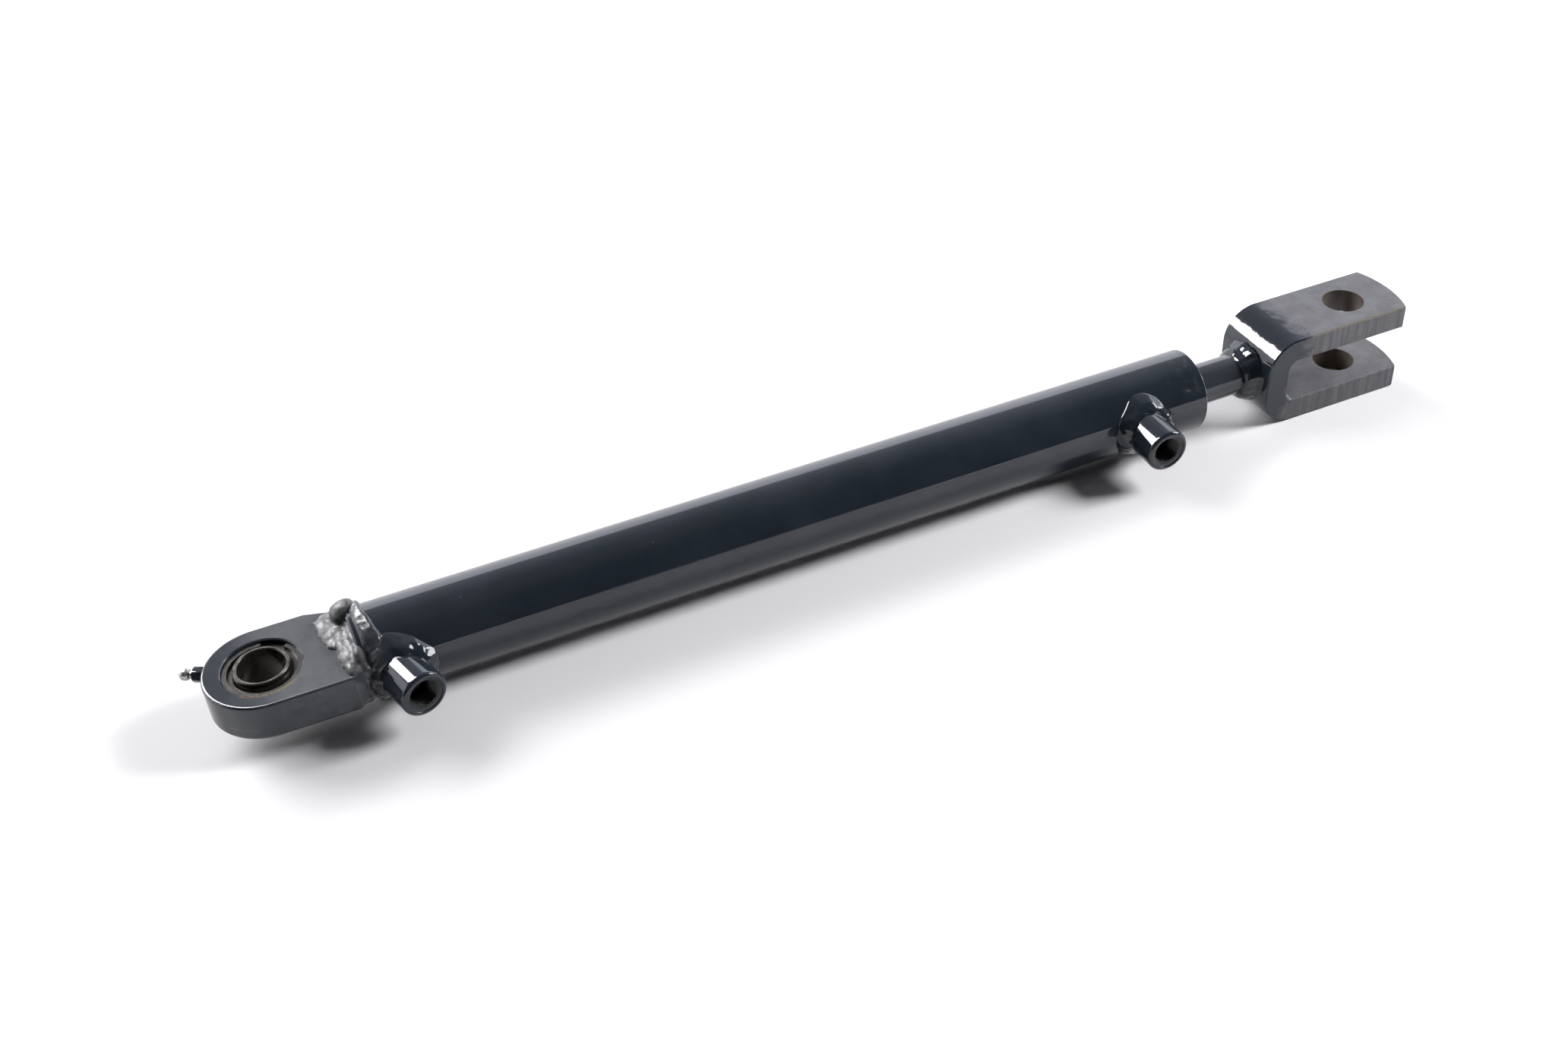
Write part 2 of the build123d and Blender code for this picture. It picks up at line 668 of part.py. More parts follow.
os.makedirs("parts", exist_ok=True)
for node, shape in build().items():
    export_step(shape, f"parts/{node}.step")
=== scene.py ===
import math
import bmesh
import bpy
from mathutils import Matrix, Vector, noise


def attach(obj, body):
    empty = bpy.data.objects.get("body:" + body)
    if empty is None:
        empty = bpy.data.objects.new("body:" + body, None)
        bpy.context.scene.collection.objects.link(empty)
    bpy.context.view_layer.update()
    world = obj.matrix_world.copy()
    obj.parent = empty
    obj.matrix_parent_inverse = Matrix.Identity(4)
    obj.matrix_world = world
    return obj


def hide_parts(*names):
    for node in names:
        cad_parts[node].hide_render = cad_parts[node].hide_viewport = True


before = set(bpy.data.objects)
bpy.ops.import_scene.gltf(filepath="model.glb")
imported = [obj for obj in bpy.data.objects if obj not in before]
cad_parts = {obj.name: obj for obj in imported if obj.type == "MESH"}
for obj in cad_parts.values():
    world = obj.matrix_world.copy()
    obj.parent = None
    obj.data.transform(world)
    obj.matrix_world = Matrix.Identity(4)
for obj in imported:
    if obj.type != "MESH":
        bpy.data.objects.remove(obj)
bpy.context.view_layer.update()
scene = bpy.context.scene

# Shapes are worked out in millimetres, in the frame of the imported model
MM = 0.001
BARREL_R = 25.0
BARREL_END = 560.0

# ------------------------------------------------------------------ camera

CAMERA_AT = Vector((0.00718, -0.7240, 0.6179))
CAMERA_YAW = 0.376
CAMERA_PITCH = 0.674
CAMERA_ROLL = -0.069
LENS_MM = 40.41
SENSOR_MM = 36.0
FARTHEST_SEEN = 50.0


def camera_matrix():
    sin_y, cos_y = math.sin(CAMERA_YAW), math.cos(CAMERA_YAW)
    sin_p, cos_p = math.sin(CAMERA_PITCH), math.cos(CAMERA_PITCH)
    forward = Vector((sin_y * cos_p, cos_y * cos_p, -sin_p))
    level = Vector((cos_y, -sin_y, 0.0))
    upward = level.cross(forward)
    right = level * math.cos(CAMERA_ROLL) + upward * math.sin(CAMERA_ROLL)
    up = upward * math.cos(CAMERA_ROLL) - level * math.sin(CAMERA_ROLL)
    matrix = Matrix((right, up, -forward)).transposed().to_4x4()
    matrix.translation = CAMERA_AT
    return matrix


camera_data = bpy.data.cameras.new("camera")
camera_data.lens = LENS_MM
camera_data.sensor_width = SENSOR_MM
camera_data.clip_end = FARTHEST_SEEN
camera = bpy.data.objects.new("camera", camera_data)
camera.matrix_world = camera_matrix()
scene.collection.objects.link(camera)
scene.camera = camera
scene.view_settings.view_transform = "Standard"

# ------------------------------------------------------------------ studio

# The studio is in metres, round the middle of the object
MIDDLE_X = 0.33

# Name, azimuth, elevation, distance, width and height, radiance, and what sees it
SOFTBOXES = [
    ("back_left_gloss", -41.7, 41.6, 1.92, (0.77, 1.81), 26.0, "gloss"),
    ("back_left_fill", -29.0, 32.1, 3.1, (2.8, 1.65), 11.5, "diffuse"),
    ("right_gloss", 98.0, 26.0, 1.8, (0.7, 0.7), 14.0, "gloss"),
    ("right_fill", 107.4, 35.2, 3.1, (1.02, 0.9), 46.0, "diffuse"),
    ("ceiling_fill", 0.0, 89.0, 3.0, (4.0, 4.0), 0.2, "diffuse"),
]

# Name, place on the floor, and size, for the floor well away from the object
FLOOR_WASHES = [
    ("wash_front", MIDDLE_X, -3.9, (9.0, 3.4)),
    ("wash_back", MIDDLE_X, 4.6, (9.0, 2.6)),
    ("wash_left", -3.9, 0.0, (3.0, 6.0)),
    ("wash_right", 4.9, 0.0, (2.2, 6.0)),
]
WASH_HEIGHT = 2.6
WASH_SPREAD_DEG = 75.0
WASH_RADIANCE = 4.0


def area_light(name, size, radiance):
    """A rectangular light that the camera doesn't see."""
    data = bpy.data.lights.new(name, "AREA")
    data.shape = "RECTANGLE"
    data.size, data.size_y = size
    data.energy = radiance * math.pi * size[0] * size[1]
    lamp = bpy.data.objects.new(name, data)
    lamp.visible_camera = False
    scene.collection.objects.link(lamp)
    return lamp


def softbox(name, azimuth, elevation, distance, size, radiance, sees):
    """A light that faces the middle of the object, seen only by diffuse or by gloss."""
    target = Vector((MIDDLE_X, 0.0, 0.0))
    az, el = math.radians(azimuth), math.radians(elevation)
    way = Vector((math.sin(az) * math.cos(el), math.cos(az) * math.cos(el), math.sin(el)))
    lamp = area_light(name, size, radiance)
    lamp.location = target + way * distance
    lamp.rotation_euler = (-way).to_track_quat("-Z", "Y").to_euler()
    lamp.visible_diffuse = sees == "diffuse"
    lamp.visible_glossy = sees == "gloss"


def floor_wash(name, x, y, size):
    """A light that points straight down with a narrow spread."""
    lamp = area_light(name, size, WASH_RADIANCE)
    lamp.data.spread = math.radians(WASH_SPREAD_DEG)
    lamp.location = (x, y, WASH_HEIGHT)
    lamp.visible_glossy = False


# Brightness of the room at heights from 0, straight down, to 1, straight up
ROOM_BEHIND = [(0.5, 1.8), (0.745, 2.75), (0.77, 0.75), (0.87, 0.6), (1.0, 0.25)]
ROOM_BY_CAMERA = [(0.5, 0.06), (0.8, 0.06), (0.94, 0.1), (1.0, 0.25)]
# How much of the back's brightness holds, from the camera's side to the back
ROOM_BLEND = [(0.40, 0.0), (0.60, 1.0)]
ROOM_TINT = (0.97, 0.98, 1.07)
WHITE = (1.0, 1.0, 1.0, 1.0)


def room_light():
    """A white backdrop low behind the object, a dim ceiling, and a dark camera's side."""
    world = bpy.data.worlds.new("studio")
    world.use_nodes = True
    scene.world = world
    tree = world.node_tree
    tree.nodes.clear()
    coord = tree.nodes.new("ShaderNodeTexCoord")
    split = tree.nodes.new("ShaderNodeSeparateXYZ")
    tree.links.new(coord.outputs["Generated"], split.inputs[0])

    def steps(value, stops):
        ramp = tree.nodes.new("ShaderNodeValToRGB")
        elements = ramp.color_ramp.elements
        while len(elements) < len(stops):
            elements.new(0.5)
        for element, (place, level) in zip(elements, stops):
            element.position = place
            element.color = (*(level * tint for tint in ROOM_TINT), 1.0)
        remap = tree.nodes.new("ShaderNodeMapRange")
        remap.inputs["From Min"].default_value = -1.0
        tree.links.new(value, remap.inputs["Value"])
        tree.links.new(remap.outputs[0], ramp.inputs[0])
        return ramp.outputs[0]

    blend = tree.nodes.new("ShaderNodeMix")
    blend.data_type = "RGBA"
    tree.links.new(steps(split.outputs["Y"], ROOM_BLEND), blend.inputs["Factor"])
    tree.links.new(steps(split.outputs["Z"], ROOM_BY_CAMERA), blend.inputs["A"])
    tree.links.new(steps(split.outputs["Z"], ROOM_BEHIND), blend.inputs["B"])
    sky = tree.nodes.new("ShaderNodeBackground")
    tree.links.new(blend.outputs["Result"], sky.inputs["Color"])
    # Seen directly, the room is plain white from every side
    plain = tree.nodes.new("ShaderNodeBackground")
    plain.inputs["Color"].default_value = WHITE
    path = tree.nodes.new("ShaderNodeLightPath")
    seen = tree.nodes.new("ShaderNodeMixShader")
    tree.links.new(path.outputs["Is Camera Ray"], seen.inputs[0])
    tree.links.new(sky.outputs[0], seen.inputs[1])
    tree.links.new(plain.outputs[0], seen.inputs[2])
    out = tree.nodes.new("ShaderNodeOutputWorld")
    tree.links.new(seen.outputs[0], out.inputs["Surface"])
    world.cycles_visibility.diffuse = False


FLOOR_SIZE = 12.0
FLOOR_LEVEL = -0.0291
FLOOR_COLOR = (0.80, 0.79, 0.815, 1.0)
FLOOR_ROUGHNESS = 0.9
FLOOR_SPECULAR = 0.2


def build_floor():
    material = bpy.data.materials.new("studio_floor")
    material.use_nodes = True
    bsdf = material.node_tree.nodes["Principled BSDF"]
    bsdf.inputs["Base Color"].default_value = FLOOR_COLOR
    bsdf.inputs["Roughness"].default_value = FLOOR_ROUGHNESS
    bsdf.inputs["Specular IOR Level"].default_value = FLOOR_SPECULAR
    mesh = bpy.data.meshes.new("studio_floor")
    h = FLOOR_SIZE / 2
    mesh.from_pydata([(-h, -h, 0), (h, -h, 0), (h, h, 0), (-h, h, 0)], [], [(0, 1, 2, 3)])
    mesh.materials.append(material)
    obj = bpy.data.objects.new("studio_floor", mesh)
    obj.location = (MIDDLE_X, 0.0, FLOOR_LEVEL)
    scene.collection.objects.link(obj)


for settings in SOFTBOXES:
    softbox(*settings)
for settings in FLOOR_WASHES:
    floor_wash(*settings)
room_light()
build_floor()

# --------------------------------------------------------------- materials

COAT_IOR = 1.5


class Graph:
    """Short names for the nodes of one material. x, y and z are in millimetres."""

    def __init__(self, name):
        self.material = bpy.data.materials.new(name)
        self.material.use_nodes = True
        self.tree = self.material.node_tree
        self.bsdf = self.tree.nodes["Principled BSDF"]
        coord = self.tree.nodes.new("ShaderNodeTexCoord")
        self.place = coord.outputs["Object"]
        split = self.tree.nodes.new("ShaderNodeSeparateXYZ")
        self.link(self.place, split.inputs[0])
        self.x, self.y, self.z = (self.math("DIVIDE", way, MM) for way in split.outputs)

    def link(self, value, socket):
        if isinstance(value, (int, float, tuple)):
            socket.default_value = value
        else:
            self.tree.links.new(value, socket)

    def math(self, operation, a, b=0.0):
        node = self.tree.nodes.new("ShaderNodeMath")
        node.operation = operation
        self.link(a, node.inputs[0])
        self.link(b, node.inputs[1])
        return node.outputs[0]

    def add(self, a, b):
        return self.math("ADD", a, b)

    def times(self, first, *others):
        product = first
        for factor in others:
            product = self.math("MULTIPLY", product, factor)
        return product

    def most(self, a, b):
        return self.math("MAXIMUM", a, b)

    def rest_of(self, share):
        return self.math("SUBTRACT", 1.0, share)

    def off(self, value, middle):
        """How far value is from middle, either way."""
        return self.math("ABSOLUTE", self.math("SUBTRACT", value, middle))

    def reach(self, x, y):
        """The length of (x, y)."""
        return self.math("SQRT", self.add(self.times(x, x), self.times(y, y)))

    def sway(self, size_mm, reach_mm):
        """An offset in millimetres that wanders over the surface."""
        drift = self.math("SUBTRACT", self.noise(size_mm, 4.0, 0.6), 0.5)
        return self.times(drift, reach_mm)

    def stretch(self, scale):
        node = self.tree.nodes.new("ShaderNodeMapping")
        node.inputs["Scale"].default_value = scale
        self.link(self.place, node.inputs["Vector"])
        return node.outputs[0]

    def noise(self, size_mm, detail=2.0, rough=0.5, vector=None):
        node = self.tree.nodes.new("ShaderNodeTexNoise")
        node.inputs["Scale"].default_value = 1.0 / (size_mm * MM)
        node.inputs["Detail"].default_value = detail
        node.inputs["Roughness"].default_value = rough
        self.link(vector or self.place, node.inputs["Vector"])
        return node.outputs["Fac"]

    def cells(self, size_mm):
        node = self.tree.nodes.new("ShaderNodeTexVoronoi")
        node.inputs["Scale"].default_value = 1.0 / (size_mm * MM)
        self.link(self.place, node.inputs["Vector"])
        return node.outputs["Distance"]

    def fade(self, value, low, high, start=0.0, end=1.0):
        """start where value is below low, end where it is above high, and smooth between."""
        node = self.tree.nodes.new("ShaderNodeMapRange")
        node.interpolation_type = "SMOOTHSTEP"
        self.link(value, node.inputs["Value"])
        sockets = {"From Min": low, "From Max": high, "To Min": start, "To Max": end}
        for socket, number in sockets.items():
            node.inputs[socket].default_value = number
        return node.outputs[0]

    def fade_out(self, value, low, high):
        return self.fade(value, low, high, 1.0, 0.0)

    def mix(self, factor, a, b):
        node = self.tree.nodes.new("ShaderNodeMix")
        node.data_type = "RGBA"
        self.link(factor, node.inputs["Factor"])
        for value, socket in ((a, "A"), (b, "B")):
            self.link((*value, 1.0) if isinstance(value, tuple) else value, node.inputs[socket])
        return node.outputs["Result"]

    def bump(self, height, depth_mm, normal=None):
        node = self.tree.nodes.new("ShaderNodeBump")
        node.inputs["Strength"].default_value = 1.0
        node.inputs["Distance"].default_value = depth_mm * MM
        self.link(height, node.inputs["Height"])
        if normal is not None:
            self.link(normal, node.inputs["Normal"])
        return node.outputs[0]

    def finish(self, color, roughness, normal, metallic=0.0):
        self.link(color, self.bsdf.inputs["Base Color"])
        self.link(roughness, self.bsdf.inputs["Roughness"])
        self.link(metallic, self.bsdf.inputs["Metallic"])
        self.link(normal, self.bsdf.inputs["Normal"])
        self.bsdf.inputs["IOR"].default_value = COAT_IOR
        return self.material


PAINT = (0.0105, 0.0150, 0.0215)
PAINT_PALE = (0.0150, 0.0200, 0.0275)
DUST = (0.16, 0.16, 0.17)
OIL = (0.085, 0.060, 0.022)
OLD_GREASE = (0.125, 0.085, 0.030)
# Painted highlight colour for the barrel's end edge
RIM_HIGHLIGHT = (0.30, 0.31, 0.33)
# Painted highlight colour for the eye's left top edge
EYE_EDGE_HIGHLIGHT = (0.4, 0.4, 0.42)
WELD_SATIN = (0.042, 0.043, 0.048)
WELD_DARK = (0.020, 0.020, 0.023)
WELD_PALE = (0.046, 0.046, 0.051)
WELD_SCALE = (0.030, 0.026, 0.021)
BAR_DARK = (0.052, 0.052, 0.058)
BAR_PALE = (0.086, 0.086, 0.096)
BAR_CUT = (0.110, 0.108, 0.118)
BAR_CUT_DARK = (0.046, 0.045, 0.051)
BAR_SMEAR = (0.052, 0.046, 0.038)
PIN_HOLE_WALL = (0.085, 0.066, 0.052)
BEARING = (0.044, 0.040, 0.035)
BEARING_OILED = (0.031, 0.027, 0.022)
BEARING_RIM = (0.130, 0.122, 0.110)
CHROME = (0.62, 0.63, 0.65)

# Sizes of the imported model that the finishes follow, in millimetres
EYE_TOP = 11.5
EYE_R = 31.0
EYE_MOUTH_R = 22.2
RING_TOP = 12.5
CLEVIS_SIDE = 24.0
CLEVIS_TOP = 29.0
PIN_X = 672.5
PIN_R = 12.5


def enamel(g, drawn=False):
    """Colour, roughness and normal of the gloss enamel, with faint drawing lines on a tube."""
    color = g.mix(g.fade(g.noise(35.0, 3.0), 0.35, 0.7), PAINT, PAINT_PALE)
    speck = g.fade_out(g.cells(9.0), 0.035, 0.055)
    patch = g.fade(g.noise(60.0, 1.0), 0.52, 0.62)
    color = g.mix(g.times(speck, patch, 0.35), color, DUST)
    if drawn:
        streak = g.noise(1.6, 2.0, vector=g.stretch((0.015, 1.0, 1.0)))
        rough = g.fade(streak, 0.35, 0.75, 0.045, 0.13)
    else:
        rough = g.fade(g.noise(8.0, 3.0), 0.2, 0.8, 0.06, 0.09)
    return color, rough, g.bump(g.noise(5.0, 1.0), 0.012)


def gloss_paint():
    g = Graph("gloss_paint")
    color, rough, normal = enamel(g, drawn=True)
    # A dusty rubbed patch near the rod end of the barrel
    near = g.fade_out(g.off(g.x, BARREL_END - 9.0), 2.0, 9.0)
    rubbed = g.times(near, g.fade(g.noise(6.0, 6.0, 0.75), 0.45, 0.75))
    rubbed = g.times(rubbed, g.fade(g.z, 4.0, 14.0))
    color = g.mix(g.times(rubbed, 0.22), color, DUST)
    # The barrel's end edge: painted highlight along its upper half, broken up by noise
    edge = g.fade(g.x, BARREL_END - 0.9, BARREL_END - 0.6)
    rim_highlight = g.times(edge, g.fade(g.noise(5.0, 3.0), 0.35, 0.6, 0.15, 0.7))
    rim_highlight = g.times(rim_highlight, g.fade(g.z, -8.0, 8.0))
    color = g.mix(rim_highlight, color, RIM_HIGHLIGHT)
    return g.finish(color, g.add(rough, g.times(rubbed, 0.3)), normal)


def eye_paint():
    g = Graph("eye_paint")
    color, rough, normal = enamel(g)
    # Dust on the top face, thicker towards the weld, and on the near side
    top = g.fade(g.z, EYE_TOP - 0.9, EYE_TOP - 0.3)
    toward_weld = g.fade(g.add(g.x, g.sway(14.0, 12.0)), -24.0, 16.0)
    dusty = g.times(top, g.add(0.01, g.times(toward_weld, 0.19)))
    dusty = g.times(dusty, g.fade(g.noise(6.0, 5.0, 0.65), 0.2, 0.8, 0.82, 1.15))
    near_side = g.fade(g.x, -5.0, 25.0, 0.0, 0.20)
    near_side = g.times(near_side, g.fade(g.noise(9.0, 3.0), 0.3, 0.7, 0.4, 1.0))
    near_side = g.times(near_side, g.fade_out(g.z, EYE_TOP - 1.5, EYE_TOP - 0.5))
    dusty = g.most(dusty, near_side)
    color = g.mix(dusty, color, DUST)
    # Painted highlight along the top edge at the left end of the eye, broken into flecks
    radius = g.reach(g.x, g.y)
    rim = g.times(
        g.fade(radius, EYE_R - 1.6, EYE_R - 1.1),
        g.fade_out(radius, EYE_R - 0.25, EYE_R - 0.05),
        g.fade(g.z, EYE_TOP - 1.5, EYE_TOP - 1.1),
        g.fade_out(g.x, -25.0, -15.0),
        g.fade_out(g.y, -2.0, 6.0),
    )
    edge_highlight = g.times(rim, g.fade(g.noise(1.6, 3.0, 0.7), 0.52, 0.60))
    color = g.mix(g.times(edge_highlight, 0.6), color, EYE_EDGE_HIGHLIGHT)
    # Old grease at the near edge of the bore
    grease = g.times(
        g.fade_out(g.off(radius, EYE_MOUTH_R), 0.5, 1.5),
        g.fade_out(g.y, -20.0, -15.0),
        g.fade(g.noise(1.2, 3.0, 0.7), 0.40, 0.54),
    )
    color = g.mix(grease, color, OLD_GREASE)
    # Painted highlight: a faint lighter line low along the side of the eye, strongest at its
    # left end
    seam_highlight = g.fade_out(g.off(g.z, -4.0), 0.2, 0.8)
    seam_highlight = g.times(seam_highlight, g.fade(g.x, -20.0, 2.0, 0.14, 0.0))
    color = g.mix(seam_highlight, color, DUST)
    rough = g.add(rough, g.times(dusty, 0.55))
    rough = g.add(rough, g.times(top, 0.05))
    return g.finish(color, rough, g.bump(g.noise(0.7, 3.0, 0.6), 0.02, normal))


def painted_weld():
    g = Graph("painted_weld")
    color, rough, _ = enamel(g)
    # The weld across the eye's top has lost its gloss; the bead round the barrel keeps a little
    dull = g.times(g.fade_out(g.x, 48.5, 51.5), g.fade(g.z, 7.0, 12.0))
    dull = g.times(dull, g.fade(g.noise(4.5, 4.0, 0.6), 0.30, 0.50, 0.5, 1.0))
    satin = g.fade_out(g.x, 57.5, 60.0)
    satin = g.times(satin, g.fade(g.noise(4.0, 3.0), 0.3, 0.6, 0.5, 1.0))
    color = g.mix(g.times(satin, 0.6), color, WELD_SATIN)
    patchy = g.mix(g.fade(g.noise(3.0, 4.0, 0.6), 0.35, 0.65), WELD_DARK, WELD_PALE)
    color = g.mix(g.times(dull, 0.95), color, patchy)
    scale = g.fade(g.noise(2.0, 3.0, 0.6), 0.52, 0.7)
    scale = g.times(scale, g.fade(g.x, 61.0, 63.0, 0.5, 0.0))
    color = g.mix(g.times(scale, 0.6), color, WELD_SCALE)
    rough = g.add(rough, g.times(dull, g.fade(g.noise(5.0, 3.0), 0.35, 0.6, 0.20, 0.42)))
    rough = g.add(rough, g.times(satin, 0.22))
    rugged = g.bump(g.noise(1.6, 4.0, 0.6), 0.16)
    soft = g.bump(g.noise(4.0, 1.0), 0.03)
    return g.finish(color, rough, g.mix(g.most(dull, satin), soft, rugged))


def clevis_steel():
    g = Graph("clevis_steel")
    color, rough, normal = enamel(g)
    # Enamel on the bend, worn off along the legs, further along low down
    edge = g.add(g.add(g.x, g.sway(9.0, 26.0)), g.fade(g.z, -5.0, 20.0, 10.0, 0.0))
    bare = g.fade(edge, 624.0, 637.0)
    # Rolled faces, and sawn sides with dark streaks
    steel = g.mix(g.fade(g.noise(14.0, 4.0, 0.6), 0.3, 0.7), BAR_DARK, BAR_PALE)
    side = g.fade(g.math("ABSOLUTE", g.y), CLEVIS_SIDE - 0.8, CLEVIS_SIDE - 0.4)
    streak = g.noise(2.2, 3.0, 0.6, g.stretch((1.0, 1.0, 0.06)))
    steel = g.mix(g.times(side, 0.7), steel, BAR_CUT)
    steel = g.mix(g.times(side, g.fade(streak, 0.35, 0.65, 0.0, 0.8)), steel, BAR_CUT_DARK)
    smear = g.fade(g.noise(11.0, 3.0, 0.55, g.stretch((0.35, 1.0, 1.0))), 0.56, 0.72)
    steel = g.mix(g.times(smear, 0.45), steel, BAR_SMEAR)
    # Brown walls inside the pin hole
    from_pin = g.reach(g.math("SUBTRACT", g.x, PIN_X), g.y)
    steel = g.mix(g.fade(from_pin, PIN_R, PIN_R + 0.4, 0.9, 0.0), steel, PIN_HOLE_WALL)
    color = g.mix(bare, color, steel)
    # Yellow oil along the upper near edge and in specks
    line = g.times(
        g.fade_out(g.off(g.y, 0.4 - CLEVIS_SIDE), 0.5, 1.6),
        g.fade(g.z, CLEVIS_TOP - 1.6, CLEVIS_TOP - 0.4),
        g.fade(g.noise(2.6, 4.0, 0.7), 0.40, 0.60),
        g.fade(g.x, 634.0, 640.0),
    )
    dots = g.fade_out(g.cells(3.2), 0.10, 0.16)
    dots = g.times(dots, g.fade(g.noise(16.0, 2.0), 0.55, 0.65), bare)
    color = g.mix(g.times(g.most(line, g.times(dots, 0.5)), 0.85), color, OIL)
    rough = g.add(rough, g.times(bare, g.fade(g.noise(5.0, 3.0), 0.3, 0.7, 0.26, 0.40)))
    grain = g.bump(g.add(g.noise(0.9, 3.0, 0.6), g.times(side, streak)), 0.05)
    thick = g.bump(g.noise(10.0, 1.5), 0.16, normal)
    return g.finish(color, rough, g.mix(bare, thick, grain))


def bearing_steel():
    g = Graph("bearing_steel")
    color = g.mix(g.fade(g.noise(14.0, 3.0, 0.5), 0.35, 0.7), BEARING, BEARING_OILED)
    rim = g.fade(g.z, RING_TOP - 0.6, RING_TOP - 0.3)
    rim = g.times(rim, g.fade(g.noise(6.0, 3.0), 0.3, 0.6, 0.8, 1.0))
    color = g.mix(g.times(rim, 0.4), color, BEARING_RIM)
    rough = g.fade(g.noise(6.0, 3.0), 0.3, 0.7, 0.20, 0.30)
    turned = g.noise(0.5, 2.0, 0.6, g.stretch((0.02, 0.02, 1.0)))
    return g.finish(color, rough, g.bump(turned, 0.006), 0.75)


def two_tone(g, dark, light):
    return g.mix(g.fade(g.noise(4.0, 3.0), 0.3, 0.7), dark, light)


def plain(name, dark, light, rough_low, rough_high, metallic, grain_mm=0.8):
    """A finish of two tones, with a fine grain in its gloss."""
    g = Graph(name)
    fine = g.noise(grain_mm, 3.0, 0.6)
    rough = g.fade(fine, 0.3, 0.7, rough_low, rough_high)
    return g.finish(two_tone(g, dark, light), rough, g.bump(fine, 0.01), metallic)


def sprayed_over(name, dark, light, rough_low, rough_high, metallic):
    """A finish that the enamel covers on the end face, sprayed once it was assembled."""
    g = Graph(name)
    paint, paint_rough, normal = enamel(g)
    depth = g.add(g.x, g.times(g.noise(3.0, 2.0), 0.3))
    bare = g.fade_out(depth, BARREL_END - 1.4, BARREL_END - 1.1)
    fine = g.noise(0.5, 3.0, 0.6, g.stretch((1.0, 0.05, 0.05)))
    color = g.mix(bare, paint, two_tone(g, dark, light))
    bare_rough = g.times(bare, g.fade(fine, 0.3, 0.7, rough_low, rough_high))
    return g.finish(color, g.add(paint_rough, bare_rough), normal, g.times(bare, metallic))


def rod_finish():
    """Ground chrome, with enamel on the end that stood out when it was sprayed."""
    g = Graph("rod_chrome")
    paint, paint_rough, normal = enamel(g)
    depth = g.add(g.x, g.times(g.noise(3.0, 2.0), 0.6))
    painted = g.fade(depth, BARREL_END + 1.3, BARREL_END + 1.6)
    chromed = g.rest_of(painted)
    ground = g.noise(0.35, 2.0, 0.6, g.stretch((1.0, 0.05, 0.05)))
    chrome_rough = g.fade(ground, 0.3, 0.7, 0.06, 0.16)
    color = g.mix(painted, CHROME, g.mix(0.10, paint, DUST))
    rough = g.add(g.times(chrome_rough, chromed), g.times(paint_rough, painted))
    return g.finish(color, rough, normal, chromed)


LOOKS = {
    "gloss_paint": gloss_paint(),
    "eye_paint": eye_paint(),
    "painted_weld": painted_weld(),
    "clevis_steel": clevis_steel(),
    "bearing_steel": bearing_steel(),
    "rod_chrome": rod_finish(),
}
# Name, its two tones, its least and most roughness, metallic, and the grain's size
for look in [
    ("spring_steel", (0.010, 0.010, 0.010), (0.022, 0.021, 0.020), 0.25, 0.4, 0.6),
    ("plated_steel", (0.34, 0.335, 0.32), (0.46, 0.455, 0.44), 0.22, 0.34, 0.9),
    # port_thread is near black: painted shade for the deep threaded hole
    ("port_thread", (0.002, 0.002, 0.0025), (0.004, 0.004, 0.005), 0.35, 0.5, 0.0),
    ("nitrile_rubber", (0.012, 0.012, 0.012), (0.022, 0.022, 0.022), 0.45, 0.65, 0.0),
    ("guide_polymer", (0.16, 0.09, 0.05), (0.24, 0.15, 0.09), 0.5, 0.7, 0.0, 0.4),
]:
    LOOKS[look[0]] = plain(*look)
for look in [
    ("machined_steel", (0.42, 0.42, 0.43), (0.58, 0.58, 0.59), 0.14, 0.28, 1.0),
    ("polyurethane", (0.10, 0.24, 0.34), (0.14, 0.29, 0.39), 0.2, 0.3, 0.0),
]:
    LOOKS[look[0]] = sprayed_over(*look)

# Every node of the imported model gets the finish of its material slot
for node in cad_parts.values():
    slot = node.data.materials[0].name.split(".")[0]
    node.data.materials[0] = LOOKS[slot]

# ------------------------------------------------------------------ shapes

MERGE_MM = 0.0005


def add_piece(name, bm, slot, stands_for, sharp_deg, body="barrel", look=None):
    """Turns a bmesh in millimetres into a piece of the model in metres."""
    bmesh.ops.remove_doubles(bm, verts=bm.verts, dist=MERGE_MM)
    bmesh.ops.recalc_face_normals(bm, faces=bm.faces)
    mesh = bpy.data.meshes.new(name)
    bm.to_mesh(mesh)
    bm.free()
    mesh.transform(Matrix.Scale(MM, 4))
    mesh.polygons.foreach_set("use_smooth", [True] * len(mesh.polygons))
    mesh.set_sharp_from_angle(angle=math.radians(sharp_deg))
    mesh.materials.append(LOOKS[look or slot])
    obj = bpy.data.objects.new(name, mesh)
    scene.collection.objects.link(obj)
    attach(obj, body)
    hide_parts(stands_for)


def closed_grid(bm, rows):
    """Joins rows of vertices into quads, round both ways."""
    columns = len(rows[0])
    for i, upper in enumerate(rows):
        lower = rows[(i + 1) % len(rows)]
        for j in range(columns):
            k = (j + 1) % columns
            bm.faces.new((upper[j], upper[k], lower[k], lower[j]))


def frame_from(origin, along, side):
    """A matrix whose Z runs along and whose X is side, at origin."""
    z = Vector(along).normalized()
    x = Vector(side).normalized()
    y = z.cross(x)
    matrix = Matrix((x, y, z)).transposed().to_4x4()
    matrix.translation = Vector(origin)
    return matrix


def around(radius, angle, height=0.0):
    """The point at a radius, an angle and a height about Z."""
    return Vector((radius * math.cos(angle), radius * math.sin(angle), height))


